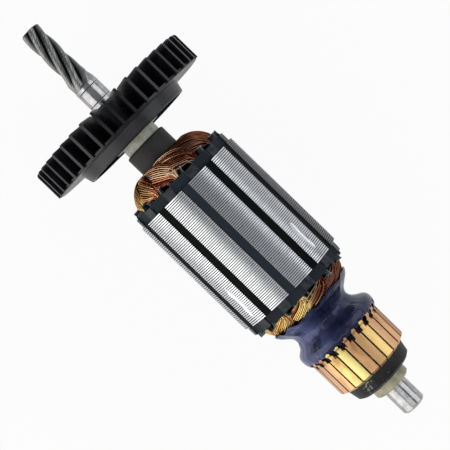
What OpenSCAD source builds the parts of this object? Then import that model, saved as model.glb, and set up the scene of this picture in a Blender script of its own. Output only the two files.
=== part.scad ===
// Armature of a double-insulated power-tool motor: shaft with pinion, cooling fan,
// laminated core with twelve lap coils, and a commutator with twenty-four bars.
//
// The shaft lies along X, with the pinion at the +X end. The origin is on the axis, in
// the middle of the drive-end bearing seat. Inside the modules the axis is local Z, and
// "station" is the distance behind that bearing seat, growing towards the commutator.

/* [Shaft] */
// Diameter of both bearing seats
seat_d = 8; // [6:0.5:8.5]
// Diameter of the shaft between the bearing seats
shaft_d = 8.8; // [8.6:0.1:9.6]
// Length of the drive-end bearing seat
seat_len = 7; // [6:0.5:8]
// Length of the rear bearing seat
rear_seat_len = 9.2; // [7:0.2:12]

/* [Pinion] */
// Number of pinion teeth
pinion_teeth = 5; // [4:1:8]
// Outside diameter of the pinion
pinion_d = 6.7; // [6:0.1:7.2]
// Diameter at the roots of the pinion teeth
pinion_root_d = 4.1; // [3.8:0.1:5.2]
// Length of one full turn of the helix
pinion_lead = 41; // [30:1:60]
// Distance from the drive bearing seat to the tip of the pinion
pinion_reach = 27; // [22:0.5:32]

/* [Fan] */
// Outside diameter of the fan
fan_d = 59; // [50:1:64]
// Number of vanes
vane_count = 40; // [24:1:44]
// Thickness of one vane
vane_t = 0.9; // [0.6:0.05:1.2]
// Height of the vanes along the axis
vane_h = 8.85; // [6:0.05:12]
// Diameter of the skirt where it leaves the back plate
skirt_d = 40; // [34:0.5:44]
// Depth of the skirt behind the back plate
skirt_h = 3.6; // [2:0.1:5]

/* [Insulation] */
// Outside diameter of the insulating tube
tube_d = 12.5; // [11.5:0.1:13]
// Outside diameter of the drive-end sleeve
sleeve_d = 14.3; // [13.6:0.1:14.6]

/* [Core] */
// Diameter of the laminated core
core_d = 38.2; // [37:0.1:40]
// Length of the laminated core
core_len = 43.1; // [36:0.1:50]
// Width of the slot mouths
mouth_w = 2.74; // [2.2:0.02:3.2]
// Width of a tooth between two slots
tooth_w = 3.3; // [3:0.1:3.6]
// Thickness of each end plate
plate_t = 3; // [2.4:0.1:3.2]

/* [Commutator] */
// Diameter of the brush track
track_d = 26.2; // [24:0.1:28]
// Length of the bars, from the riser end to the rear chamfer
bar_len = 17.4; // [15:0.1:19]
// Angle taken by the gap between two bars
bar_gap = 2.4; // [1.6:0.1:3]

/* [Hidden] */
slots = 12;
bars = 24;
slot_pitch = 360 / slots;
bar_pitch = 360 / bars;
coil_span = 5;
bore_r = tube_d / 2;
shaft_r = shaft_d / 2;
seat_r = seat_d / 2;
core_r = core_d / 2;
track_r = track_d / 2;
fan_r = fan_d / 2;

// Stations along the axis
seat_end = seat_len / 2 + 0.2;
vane_front = 4.5;
plate_front = vane_front + vane_h;
fan_plate_t = 0.85;
skirt_top = plate_front + fan_plate_t;
skirt_rim = skirt_top + skirt_h;
hub_front = 4;
hub_rear = skirt_rim - 0.15;
sleeve_front = 20.5;
core_front = 37.85;
core_rear = core_front + core_len;
bar_front = core_rear + 17.85;
bar_rear = bar_front + bar_len;
hub_end = bar_rear + 4.8;
tube_end = hub_end + 3.6;
shaft_end = tube_end + rear_seat_len;
coat_edge = bar_front + 3.2;

// Slots
slot_top_r = 17.55;
slot_knee_r = 10.4;
slot_floor_r = 9.9;
slot_floor_half = 0.5;
plate_r = 18.4;
liner_t = 0.25;
liner_reach = 3.6;
wedge_reach = 3.4;
wedge_low_r = 16.95;
wedge_top_r = 17.5;
wedge_rib_r = 18.8;
fit = 0.02;

$fn = 96;

function numbered(word, n) = [for (i = [1:n]) str(word, i < 10 ? "0" : "", i)];
NODES = concat(
    ["shaft", "fan", "insulating_tube", "drive_end_sleeve", "core",
     "end_plate_drive", "end_plate_commutator", "slot_wedges", "lead_coating", "commutator_hub"],
    numbered("slot_liner_", slots),
    numbered("coil_", slots),
    numbered("commutator_bar_", bars));
node = "all";

// ---------------------------------------------------------------- helpers

// Stands local Z, the axis of every turned piece, along -X
module along_shaft() {
    rotate([0, -90, 0]) children();
}

// Turns a profile of [radius, station] points round the axis
module turned(profile, from = 0, angle = 360) {
    rotate([0, 0, from]) rotate_extrude(angle = angle) polygon(profile);
}

function flat(lists) = [for (one = lists) each one];

// Closed skin over a list of rings that all have the same number of points.
// "loop" joins the last ring to the first, otherwise both ends are capped.
module skin(rings, loop = false) {
    n = len(rings[0]);
    m = len(rings);
    last = loop ? m - 1 : m - 2;
    sides = [for (k = [0:last], i = [0:n - 1], half = [0, 1])
        let (a = k * n, b = ((k + 1) % m) * n, j = (i + 1) % n)
        half == 0 ? [a + i, b + i, b + j] : [a + i, b + j, a + j]];
    caps = loop ? [] : [[for (i = [0:n - 1]) i], [for (i = [n - 1:-1:0]) (m - 1) * n + i]];
    polyhedron(points = flat(rings), faces = concat(sides, caps));
}

// ---------------------------------------------------------------- shaft with pinion

tip_chamfer = 0.4;
helix_phase = -18;
shoulder_from = -9.8;
shoulder_to = -6.8;
gash_turns_out = -8.6;
pinion_end = -(seat_len / 2 + 0.3);
tooth_steps = 10;
crest_power = 0.9;

function blend(t) = (1 - cos(180 * min(max(t, 0), 1))) / 2;

// Radius of the blank: pinion diameter, then a shoulder up to just under the bearing seat
seat_step = 0.06;
function blank_r(s) = pinion_d / 2 + (seat_r - seat_step - pinion_d / 2)
    * blend((s - shoulder_from) / (shoulder_to - shoulder_from))
    - max(0, tip_chamfer - (s + pinion_reach));

// Radius at the bottom of a gap: the hob leaves the work on an arc
runout = pinion_end - gash_turns_out;
runout_rise = seat_r - seat_step - pinion_root_d / 2;
hob_r = (runout * runout + runout_rise * runout_rise) / (2 * runout_rise);
function gap_r(s) = min(blank_r(s), pinion_root_d / 2
    + (s <= gash_turns_out ? 0 : hob_r - sqrt(hob_r * hob_r - pow(s - gash_turns_out, 2))));

// 1 on the crest of a tooth, 0 in the gap, for a turn measured in teeth. The crests are
// full and round, and the gaps are sharp.
function tooth_rise(u) = pow(max(cos(180 * abs(u - round(u))), 0), crest_power);

function pinion_ring(s) = [for (i = [0:pinion_teeth * tooth_steps - 1])
    let (a = 360 * i / (pinion_teeth * tooth_steps),
         twist = 360 * (s + pinion_reach) / pinion_lead,
         r = gap_r(s) + (blank_r(s) - gap_r(s)) * tooth_rise(i / tooth_steps))
    [r * cos(a + twist + helix_phase), r * sin(a + twist + helix_phase), s]];

pinion_stations = concat(
    [-pinion_reach, -pinion_reach + tip_chamfer],
    [for (s = [-pinion_reach + 1:1:gash_turns_out]) s],
    [for (k = [1:8]) gash_turns_out + runout * k / 8],
    [pinion_end + 0.4]);

groove_d = 0.1;
groove_w = 0.35;
seat_lines = [-2.6, 2.4];
centre_hole_r = 0.6;
centre_hole_h = 2.4;
seat_chamfer = 0.5;
function groove(s) = [[seat_r, s - groove_w / 2], [seat_r - groove_d, s], [seat_r, s + groove_w / 2]];

module centre_hole() {
    cylinder(h = centre_hole_h, r = centre_hole_r);
    translate([0, 0, -0.01]) cylinder(h = 1, r1 = 2 * centre_hole_r, r2 = centre_hole_r);
}

module shaft() {
    color([0.62, 0.63, 0.64]) along_shaft() difference() {
        union() {
            skin([for (s = pinion_stations) pinion_ring(s)]);
            turned(concat(
                [[0, pinion_end], [seat_r, pinion_end]],
                groove(seat_lines[0]), groove(seat_lines[1]),
                [[seat_r, seat_end], [shaft_r, seat_end + 0.3], [shaft_r, tube_end],
                 [seat_r, tube_end], [seat_r, shaft_end - seat_chamfer],
                 [seat_r - seat_chamfer, shaft_end], [0, shaft_end]]));
        }
        translate([0, 0, -pinion_reach]) centre_hole();
        translate([0, 0, shaft_end]) mirror([0, 0, 1]) centre_hole();
    }
}

// ---------------------------------------------------------------- fan

vane_root_r = 15;
vane_phase = -3.5;
skirt_wall = 1.2;
fan_plate_r = fan_r - 0.9;
fan_hub_r = 8.5;

module vane() {
    // outline of one vane, radius along X and station along Y
    rotate([90, 0, 0]) linear_extrude(height = vane_t, center = true) polygon([
        [vane_root_r, plate_front + 0.3], [vane_root_r, vane_front + 4],
        [vane_root_r + 4, vane_front], [fan_r - 0.5, vane_front], [fan_r, vane_front + 0.5],
        [fan_r, skirt_top - 0.3], [fan_plate_r - 1, skirt_top - 0.3],
        [fan_plate_r - 2, plate_front + 0.3]]);
}

module fan() {
    color([0.09, 0.09, 0.1]) along_shaft() union() {
        turned([
            [shaft_r, hub_front], [fan_hub_r - 1, hub_front], [fan_hub_r, hub_front + 1],
            [fan_hub_r, plate_front], [fan_plate_r, plate_front], [fan_plate_r, skirt_top - 0.15],
            [fan_plate_r - 0.15, skirt_top], [skirt_d / 2, skirt_top],
            [skirt_d / 2 - 0.8, skirt_rim - 0.3], [skirt_d / 2 - 1.1, skirt_rim],
            [skirt_d / 2 - 0.8 - skirt_wall, skirt_rim], [skirt_d / 2 - skirt_wall, skirt_top],
            [fan_hub_r, skirt_top], [fan_hub_r, hub_rear], [shaft_r, hub_rear]]);
        for (k = [0:vane_count - 1]) rotate([0, 0, vane_phase + 360 * k / vane_count]) vane();
    }
}

// ---------------------------------------------------------------- insulation

module insulating_tube() {
    color([0.6, 0.59, 0.45]) along_shaft() turned([
        [shaft_r, hub_rear], [bore_r, hub_rear], [bore_r, tube_end - 0.5],
        [bore_r - 0.5, tube_end], [shaft_r, tube_end]]);
}

module drive_end_sleeve() {
    color([0.15, 0.15, 0.15]) along_shaft() turned([
        [bore_r, sleeve_front], [sleeve_d / 2 - 0.35, sleeve_front],
        [sleeve_d / 2, sleeve_front + 0.35], [sleeve_d / 2, core_front - plate_t],
        [bore_r, core_front - plate_t]]);
}

// ---------------------------------------------------------------- core and slots

// Half width of a slot at radius r, so that the teeth between slots keep their width
function slot_half(r) = r * tan(slot_pitch / 2) - tooth_w / 2 / cos(slot_pitch / 2);

// Outline of the slot below the tooth tips, moved in by a wall thickness
function slot_outline(wall, top) =
    let (w = wall / cos(slot_pitch / 2))
    [[top, -slot_half(top) + w], [top, slot_half(top) - w],
     [slot_knee_r + wall / 2, slot_half(slot_knee_r + wall / 2) - w],
     [slot_floor_r + wall, slot_floor_half], [slot_floor_r + wall, -slot_floor_half],
     [slot_knee_r + wall / 2, -slot_half(slot_knee_r + wall / 2) + w]];

module core_slot() {
    polygon(slot_outline(0, slot_top_r));
    polygon([[slot_top_r - 0.1, -slot_half(slot_top_r) + 0.1], [slot_top_r, -slot_half(slot_top_r)],
             [slot_top_r + 0.5, -mouth_w / 2], [core_r + 1, -mouth_w / 2],
             [core_r + 1, mouth_w / 2], [slot_top_r + 0.5, mouth_w / 2],
             [slot_top_r, slot_half(slot_top_r)], [slot_top_r - 0.1, slot_half(slot_top_r) - 0.1]]);
}

// Two lens-shaped cuts ground into the teeth to balance the rotor: [angle, from, to]
balance_cuts = [[-45, 67, 77.5], [45, 67, 79]];
cut_depth = 0.5;
cut_edge_r = 1.3;

module balance_cut(at, from, to) {
    wheel_r = pow((to - from) / 2, 2) / (2 * cut_depth) + cut_depth / 2;
    rotate([0, 0, at]) translate([core_r - cut_depth + wheel_r, 0, (from + to) / 2])
        rotate([90, 0, 0]) rotate_extrude() translate([wheel_r - cut_edge_r, 0]) circle(r = cut_edge_r);
}

module core() {
    color([0.72, 0.73, 0.75]) along_shaft() difference() {
        translate([0, 0, core_front]) linear_extrude(height = core_len) difference() {
            circle(r = core_r);
            circle(r = bore_r);
            for (k = [0:slots - 1]) rotate(k * slot_pitch) core_slot();
        }
        for (c = balance_cuts) balance_cut(c[0], c[1], c[2]);
    }
}

module end_plate(station) {
    color([0.1, 0.1, 0.11]) along_shaft() translate([0, 0, station])
        linear_extrude(height = plate_t) difference() {
            circle(r = plate_r);
            circle(r = bore_r);
            for (k = [0:slots - 1]) rotate(k * slot_pitch) polygon(slot_outline(0, plate_r + 1));
        }
}

module slot_liner(k) {
    color([0.32, 0.36, 0.42]) along_shaft() rotate([0, 0, k * slot_pitch])
        translate([0, 0, core_front - liner_reach])
            linear_extrude(height = core_len + 2 * liner_reach) difference() {
                polygon(slot_outline(0, wedge_top_r));
                polygon(slot_outline(liner_t, wedge_top_r + 1));
            }
}

module slot_wedge() {
    inset = liner_t / cos(slot_pitch / 2) + fit;
    translate([0, 0, core_front - wedge_reach])
        linear_extrude(height = core_len + 2 * wedge_reach)
            polygon([[wedge_low_r, -slot_half(wedge_low_r) + inset],
                     [wedge_low_r, slot_half(wedge_low_r) - inset],
                     [wedge_top_r, slot_half(wedge_top_r) - inset],
                     [wedge_top_r, -slot_half(wedge_top_r) + inset]]);
    translate([wedge_top_r - 0.1, -mouth_w / 2 + fit, core_front])
        cube([wedge_rib_r - wedge_top_r + 0.1, mouth_w - 2 * fit, core_len]);
}

module slot_wedges() {
    color([0.07, 0.09, 0.12]) along_shaft()
        for (k = [0:slots - 1]) rotate([0, 0, k * slot_pitch]) slot_wedge();
}

// ---------------------------------------------------------------- lap coils

// Each coil leaves the outer half of one slot, climbs over the end of the core and comes
// back into the inner half of the slot five pitches on. A row of a route is
// [angle from the first slot, radius, height over the core face, lean, breadth, thickness].
// The lean turns the outward face of the band: 0 radial, 90 axial, 180 along the turn.
leg_h = 3.7;
leg_out = [0, 15.2, leg_h, 0, 3.2, 3.1];
shared_w = 1.5;
shared_turn = 3.1;

lap_route = [
    leg_out,
    [5, 15.1, 5.9, 10, 4.2, 2.1],
    [14, 14.25, 8.2, 37, 4.7, 1.2],
    [25, 12.8, 9.6, 57, 4.5, 1.1],
    [38, 10.3, 9.5, 68, 3.8, 1.0],
    [60, 9.7, 8.55, 75, 4.0, 1.1],
    [90, 9.7, 7.2, 79, 3.9, 1.1],
    [120, 9.4, 5.6, 88, 3.2, 1.2],
    [138, 11.2, 4.6, 94, 2.6, 1.3],
    [144.5, 12.1, 4.5, 105, 2.2, 1.6],
    [148.5, 12.3, 4.2, 140, 2.1, 1.7],
    [150, 12.3, leg_h, 180, 2.1, 1.8]];

// The coils of the shared slots have only one half of the slot mouth
under_route = concat(
    [[shared_turn, 15.2, leg_h, 0, shared_w, 3.1],
     [8, 15.0, 5.9, 15, 3.0, 2.3]],
    [for (i = [2:len(lap_route) - 1]) lap_route[i]]);

// The two coils wound last lie over all the others
top_route = [
    leg_out,
    [7, 15.5, 6.8, 10, 4.2, 1.8],
    [17, 15.1, 9.1, 32, 4.6, 1.3],
    [29, 13.5, 11.0, 56, 4.8, 1.2],
    [45, 11.4, 11.75, 78, 5.0, 1.2],
    [75, 10.2, 11.75, 90, 5.0, 1.15],
    [104, 11.4, 11.75, 78, 5.0, 1.1],
    [119, 13.7, 11.0, 56, 4.6, 1.2],
    [130, 15.6, 9.35, 30, 3.5, 1.2],
    [138, 16.45, 7.2, 8, 2.5, 1.2],
    [144, 16.0, 5.4, 0, 1.7, 1.9],
    [150 - shared_turn, 15.2, leg_h, 0, shared_w, 3.1]];

route_steps = 2;
corner = 0.3;

// Catmull-Rom curve through rows a, b, c, d, between b and c
function through(a, b, c, d, t) =
    0.5 * (2 * b + (c - a) * t + (2 * a - 5 * b + 4 * c - d) * t * t
        + (3 * b - a - 3 * c + d) * t * t * t);

function dense(rows) =
    let (n = len(rows) - 1)
    concat([for (i = [0:n - 1], k = [0:route_steps - 1])
        through(rows[max(i - 1, 0)], rows[i], rows[i + 1], rows[min(i + 2, n)], k / route_steps)],
        [rows[n]]);

function unit(v) = v / norm(v);

function row_centre(row, turn) = [row[1] * cos(row[0] + turn), row[1] * sin(row[0] + turn), row[2]];

function row_normal(row, turn) =
    let (a = row[0] + turn, side = cos(row[3]))
    side >= 0 ? [side * cos(a), side * sin(a), sin(row[3])]
        : [side * sin(a), -side * cos(a), sin(row[3])];

// Eight points round a centre, with axes q (breadth) and n (thickness)
function band(c, q, n, breadth, thick) =
    let (x = breadth / 2, y = thick / 2)
    [for (p = [[x, y - corner], [x - corner, y], [corner - x, y], [-x, y - corner],
               [-x, corner - y], [corner - x, -y], [x - corner, -y], [x, corner - y]])
        c + p[0] * q + p[1] * n];

// Rings of one coil end, with height over the core face as the third coordinate
function end_rings(rows, turn) =
    let (m = len(rows), centres = [for (r = rows) row_centre(r, turn)])
    [for (k = [0:m - 1])
        let (d = k == 0 ? [0, 0, 1] : k == m - 1 ? [0, 0, -1] : unit(centres[k + 1] - centres[k - 1]),
             raw = row_normal(rows[k], turn),
             n = unit(raw - (raw * d) * d))
        band(centres[k], cross(d, n), n, rows[k][4], rows[k][5])];

// Both ends of the winding are pressed down and drawn in towards the neck, the
// commutator end lower than the drive end: [height scale, pull, from height, to height]
drive_press = [0.88, 0.15, liner_reach, 7.6];
back_press = [0.8, 0.2, 6, 8.5];
neck_r = 8;
function pressed(p, press) =
    let (h = p[2] > liner_reach ? liner_reach + (p[2] - liner_reach) * press[0] : p[2],
         share = min(max((h - press[2]) / (press[3] - press[2]), 0), 1),
         k = 1 - press[1] * share * (1 - neck_r / norm([p[0], p[1]])))
    [k * p[0], k * p[1], h];

module coil(i) {
    place = i % (slots / 2);
    rows = dense(place == 0 ? top_route : place == coil_span ? under_route : lap_route);
    over = end_rings(rows, i * slot_pitch);
    drive = [for (ring = over) [for (p = ring)
        let (q = pressed(p, drive_press)) [q[0], q[1], core_front - q[2]]]];
    back = [for (k = [len(over) - 1:-1:0]) [for (p = over[k])
        let (q = pressed(p, back_press)) [q[0], q[1], core_rear + q[2]]]];
    color([0.62, 0.33, 0.17]) along_shaft() skin(concat(drive, back), loop = true);
}

// ---------------------------------------------------------------- commutator

bar_low_r = 10.9;
bar_waist_r = 10.2;
bar_foot_r = 8.7;
undercut_r = track_r - 0.45;
hook_w = 2.2;
hook_r = track_r + 0.8;
hook_from = bar_front + 0.8;
hook_to = bar_front + 4.5;

bar_profile = [
    [bar_low_r, bar_front], [track_r, bar_front], [track_r, bar_rear - 1],
    [track_r - 1.6, bar_rear], [bar_low_r, bar_rear], [bar_waist_r, bar_rear - 1.4],
    [bar_foot_r + 0.4, bar_rear - 0.4], [bar_foot_r, bar_rear - 1.2],
    [bar_foot_r, bar_front + 1.6], [bar_foot_r + 0.4, bar_front + 0.8],
    [bar_waist_r, bar_front + 1.8]];

module bar_body(k) {
    turned(bar_profile, k * bar_pitch - (bar_pitch - bar_gap) / 2, bar_pitch - bar_gap);
}

module hook(k) {
    rotate([0, 0, k * bar_pitch]) translate([0, hook_w / 2, 0]) rotate([90, 0, 0])
        linear_extrude(height = hook_w) polygon([
            [track_r - 0.4, hook_from], [hook_r - 0.3, hook_from], [hook_r, hook_from + 0.3],
            [hook_r, hook_to - 0.6], [hook_r - 0.45, hook_to], [track_r - 0.4, hook_to]]);
}

module commutator_bar(k) {
    color([0.85, 0.58, 0.36]) along_shaft() union() {
        bar_body(k);
        hook(k);
    }
}

module commutator_hub() {
    color([0.13, 0.13, 0.14]) along_shaft() difference() {
        turned([
            [bore_r, bar_front - 1.3], [bar_low_r - 0.5, bar_front - 1.3], [bar_low_r, bar_front],
            [undercut_r, bar_front], [undercut_r, bar_rear - 1.1], [track_r - 1.95, bar_rear + 0.2],
            [track_r - 2.7, hub_end - 0.8],
            [track_r - 3.8, hub_end], [bore_r, hub_end]]);
        for (k = [0:bars - 1]) bar_body(k);
    }
}

// ---------------------------------------------------------------- lead coating

// Outer shape from the winding over the waist to the bulge on the hooks: [radius, station]
coat_outer = [
    [14.95, core_rear + 8.85], [14.75, core_rear + 9.25], [14.2, core_rear + 9.9],
    [13.5, core_rear + 10.5], [12.6, core_rear + 11.2], [11.4, core_rear + 12.1],
    [10.75, core_rear + 13], [10.45, core_rear + 14], [10.7, core_rear + 15],
    [11.3, core_rear + 16], [12.7, core_rear + 17.1], [13.7, core_rear + 17.8],
    [14.2, core_rear + 18.5], [14.35, core_rear + 19.3], [14.3, core_rear + 20.1],
    [13.9, core_rear + 20.8], [track_r, coat_edge]];
// Inner shape, clear of the coils
coat_inner = [
    [bore_r, core_rear + 11.1], [10.6, core_rear + 11.1], [12.5, core_rear + 10.65],
    [13.4, core_rear + 10.1], [14.1, core_rear + 9.5], [14.7, core_rear + 8.85]];

module lead_coating() {
    color([0.13, 0.14, 0.28]) along_shaft() difference() {
        turned(concat(coat_outer,
            [[track_r, bar_front], [bar_low_r, bar_front], [bar_low_r - 0.5, bar_front - 1.3],
             [bore_r, bar_front - 1.3]],
            coat_inner));
        for (k = [0:bars - 1]) hook(k);
    }
}

// ---------------------------------------------------------------- nodes

function picked(name) = node == "all" || node == name;

if (picked("shaft")) shaft();
if (picked("fan")) fan();
if (picked("insulating_tube")) insulating_tube();
if (picked("drive_end_sleeve")) drive_end_sleeve();
if (picked("core")) core();
if (picked("end_plate_drive")) end_plate(core_front - plate_t);
if (picked("end_plate_commutator")) end_plate(core_rear);
if (picked("slot_wedges")) slot_wedges();
if (picked("lead_coating")) lead_coating();
if (picked("commutator_hub")) commutator_hub();
liner_names = numbered("slot_liner_", slots);
coil_names = numbered("coil_", slots);
bar_names = numbered("commutator_bar_", bars);
for (k = [0:slots - 1]) if (picked(liner_names[k])) slot_liner(k);
for (k = [0:slots - 1]) if (picked(coil_names[k])) coil(k);
for (k = [0:bars - 1]) if (picked(bar_names[k])) commutator_bar(k);
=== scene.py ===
# %% [markdown]
# # Rotor of a power tool's motor
#
# The solids of the rotor come from the CAD model and stay where they are. This script gives
# them their finishes, and adds what a CAD model leaves out: the single wires of the winding,
# the stack of steel sheets in the core, and the uneven edge of the poured epoxy.
#
# The first step loads the CAD model.

# %% Load the CAD model as the frame
import math

import bmesh
import bpy
from mathutils import Euler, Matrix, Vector, noise


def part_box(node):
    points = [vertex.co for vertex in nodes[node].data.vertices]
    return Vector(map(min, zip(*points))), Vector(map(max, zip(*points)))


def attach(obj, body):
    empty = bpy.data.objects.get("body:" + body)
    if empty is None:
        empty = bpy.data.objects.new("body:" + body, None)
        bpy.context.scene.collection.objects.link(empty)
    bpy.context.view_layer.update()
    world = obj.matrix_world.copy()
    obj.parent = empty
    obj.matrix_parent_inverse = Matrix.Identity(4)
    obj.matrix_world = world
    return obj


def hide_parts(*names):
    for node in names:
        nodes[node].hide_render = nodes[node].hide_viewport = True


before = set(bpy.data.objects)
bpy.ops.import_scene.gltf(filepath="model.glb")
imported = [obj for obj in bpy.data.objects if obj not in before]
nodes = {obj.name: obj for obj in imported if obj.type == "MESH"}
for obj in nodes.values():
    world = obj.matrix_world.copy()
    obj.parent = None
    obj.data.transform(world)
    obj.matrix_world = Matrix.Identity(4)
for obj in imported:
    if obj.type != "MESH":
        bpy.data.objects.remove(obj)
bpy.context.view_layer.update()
mm = 0.001
print("CAD nodes:", len(nodes))

# %% [markdown]
# The shaft lies along X. A station is the distance behind the drive-end bearing seat, so it
# grows towards the commutator. Angles round the shaft start at +Z and turn towards +Y. The
# main sizes could be typed in again, but they are measured on the CAD nodes, so that the two
# can't differ.


# %% Places along and round the shaft
def station_range(node):
    """First and last station of a CAD node, in millimetres."""
    low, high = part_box(node)
    return -high.x / mm, -low.x / mm


def widest(node):
    """Greatest radius of a CAD node round the shaft, in millimetres."""
    return max(math.hypot(v.co.y, v.co.z) for v in nodes[node].data.vertices) / mm


def place(radius, degrees, station):
    """Point in metres from a radius, an angle and a station in millimetres and degrees."""
    angle = math.radians(degrees)
    return Vector((-station, radius * math.sin(angle), radius * math.cos(angle))) * mm


core_front, core_rear = station_range("core")
core_radius = widest("core")
bar_front, bar_rear = station_range("commutator_bar_01")
slots, bars = 12, 24
slot_pitch = 360 / slots
print("core from", round(core_front, 2), "to", round(core_rear, 2), "radius", round(core_radius, 2))

# %% [markdown]
# ## Tools for the finishes
# Every finish is a small tree of shader nodes. Written out in plain Blender calls, each node
# takes four or five lines. Two helpers keep the trees short enough to read: one adds a node
# and fills or links its sockets, the other does sums.


# %% Add nodes and do sums
def add(tree, kind, sockets=None, **options):
    """A new node, with its options set and its input sockets filled or linked."""
    node = tree.nodes.new(kind)
    for name, value in options.items():
        setattr(node, name, value)
    for key, value in (sockets or {}).items():
        if isinstance(value, bpy.types.NodeSocket):
            tree.links.new(value, node.inputs[key])
        else:
            node.inputs[key].default_value = value
    return node


def calc(tree, operation, *values, clamp=False):
    sockets = dict(enumerate(values))
    return add(tree, "ShaderNodeMath", sockets, operation=operation, use_clamp=clamp).outputs[0]


print("helpers for nodes ready")

# %% [markdown]
# All finishes start alike: metal or not, with or without a clear coat. Patterns could follow a
# UV map, but the rotor is turned and moulded, not wrapped, so they lie in the object's own
# coordinates, in millimetres. Round the shaft they can also use a radius and an angle.


# %% Start a finish
def millimetres(tree):
    """The object's own coordinates, in millimetres."""
    spot = add(tree, "ShaderNodeTexCoord").outputs["Object"]
    return add(tree, "ShaderNodeVectorMath", {0: spot, 3: 1 / mm}, operation="SCALE").outputs[0]


def around(tree, spot):
    """Radius, angle from -1 to 1, and X, of a point round the shaft."""
    split = add(tree, "ShaderNodeSeparateXYZ", {0: spot})
    radius = calc(tree, "SQRT", calc(tree, "ADD", calc(tree, "POWER", split.outputs[1], 2.0),
                                     calc(tree, "POWER", split.outputs[2], 2.0)))
    turn = calc(tree, "DIVIDE", calc(tree, "ARCTAN2", split.outputs[1], split.outputs[2]), math.pi)
    return radius, turn, split.outputs[0]


def finish_named(name, metallic=0.0, coat=0.0, coat_roughness=0.1):
    """A new material with its tree, its shader and the coordinates for its patterns."""
    material = bpy.data.materials.new(name)
    material.use_nodes = True
    tree = material.node_tree
    shader = tree.nodes["Principled BSDF"]
    shader.inputs["Metallic"].default_value = metallic
    shader.inputs["Coat Weight"].default_value = coat
    shader.inputs["Coat Roughness"].default_value = coat_roughness
    return material, tree, shader, millimetres(tree)


print("helpers for finishes ready")

# %% [markdown]
# Dirt, stains and grain are noise that is stretched over a range and then turned into a
# colour, a roughness or a height.


# %% Noise, ranges and colours
def speckle(tree, spot, scale, detail=3.0, stretch=(1, 1, 1)):
    """Noise from 0 to 1 over the object, with its scale per millimetre."""
    stretched = add(tree, "ShaderNodeMapping", {"Vector": spot, "Scale": stretch}).outputs[0]
    sockets = {"Vector": stretched, "Scale": scale, "Detail": detail}
    return add(tree, "ShaderNodeTexNoise", sockets).outputs["Fac"]


def turning_lines(tree, along, scale, detail):
    """Noise that changes only along the shaft, as the marks of a turning tool do."""
    sockets = {"W": along, "Scale": scale, "Detail": detail}
    return add(tree, "ShaderNodeTexNoise", sockets, noise_dimensions="1D").outputs["Fac"]


def span(tree, value, low, high, to_low=0.0, to_high=1.0):
    """Stretches a value from one range to another, and clamps it there."""
    sockets = {"Value": value, "From Min": low, "From Max": high, "To Min": to_low, "To Max": to_high}
    return add(tree, "ShaderNodeMapRange", sockets).outputs["Result"]


def ramp(tree, factor, stops):
    """Colour ramp from a list of (position, colour)."""
    node = add(tree, "ShaderNodeValToRGB", {"Fac": factor})
    while len(node.color_ramp.elements) < len(stops):
        node.color_ramp.elements.new(1.0)
    for element, (position, colour) in zip(node.color_ramp.elements, stops):
        element.position = position
        element.color = (*colour, 1.0)
    return node.outputs["Color"]


def blend(tree, factor, one, other, way="MIX"):
    """Goes from one colour to the other while the factor goes from 0 to 1."""
    other = other if isinstance(other, bpy.types.NodeSocket) else (*other, 1.0)
    sockets = {"Factor": factor, "A": one, "B": other}
    return add(tree, "ShaderNodeMix", sockets, data_type="RGBA", blend_type=way).outputs["Result"]


print("helpers for patterns ready")

# %% [markdown]
# The last three helpers put a pattern to use: as bumps, as a patch of another colour over a
# finished one, and as the finish of whole CAD nodes.


# %% Bumps, patches and whole nodes
def bumps(tree, shader, height, depth_mm):
    bump = add(tree, "ShaderNodeBump", {"Height": height, "Distance": depth_mm * mm, "Strength": 1.0})
    tree.links.new(bump.outputs["Normal"], shader.inputs["Normal"])


def patch_over(material, factor, colour, way="MIX"):
    """Covers a part of a finish with another colour."""
    tree = material.node_tree
    base = tree.nodes["Principled BSDF"].inputs["Base Color"]
    tree.links.new(blend(tree, factor, base.links[0].from_socket, colour, way), base)


def give(material, *names):
    """A CAD node's mesh takes this finish."""
    for name in names:
        data = nodes[name].data
        data.materials.clear()
        data.materials.append(material)


print("helpers for the nodes' finishes ready")

# %% [markdown]
# ## Finishes of the CAD nodes
# The shaft is ground steel with fine turning lines. In the flutes of the pinion the steel is painted darker
# the deeper it lies below the tops of the teeth, a painted shade. The depth comes from the radius, which is
# simpler than painting the flutes and follows the helix.

# %% Shaft steel
pinion_begins, tooth_top, flute_floor = 3.9, 3.4, 2.5
steel, tree, shader, spot = finish_named("ground_steel", metallic=1.0)
radius, _, along = around(tree, spot)
lines = turning_lines(tree, along, 9.0, 4.0)
cloudy = speckle(tree, spot, 0.6, 4.0)
toothed = calc(tree, "GREATER_THAN", along, pinion_begins)
depth = span(tree, radius, tooth_top, flute_floor, 0.35, 1.0)
depth = calc(tree, "MULTIPLY", depth, toothed, clamp=True)
tone = calc(tree, "ADD", calc(tree, "MULTIPLY", cloudy, 0.6), calc(tree, "MULTIPLY", lines, 0.4))
bright = ramp(tree, span(tree, tone, 0.35, 0.65), [(0.0, (0.30, 0.30, 0.30)), (1.0, (0.62, 0.62, 0.61))])
# painted shade in the flutes: darker the deeper the steel lies below the tooth tops
flute_shade = blend(tree, depth, bright, (0.045, 0.045, 0.042))
tree.links.new(flute_shade, shader.inputs["Base Color"])
ground = span(tree, cloudy, 0.3, 0.7, 0.12, 0.24)
rougher = calc(tree, "ADD", ground, calc(tree, "MULTIPLY", toothed, 0.14))
tree.links.new(rougher, shader.inputs["Roughness"])
bumps(tree, shader, lines, 0.012)
give(steel, "shaft")
print("steel on the shaft, grimy above X =", pinion_begins)

# %% [markdown]
# The plastics differ in colour, gloss and grain, but each has the same make-up: two colours in
# large patches with fine grain, and a roughness that follows the patches. So one function
# makes them all. How much light a plastic throws back is one number for the whole surface,
# and is set on the shader's own socket.


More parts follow.
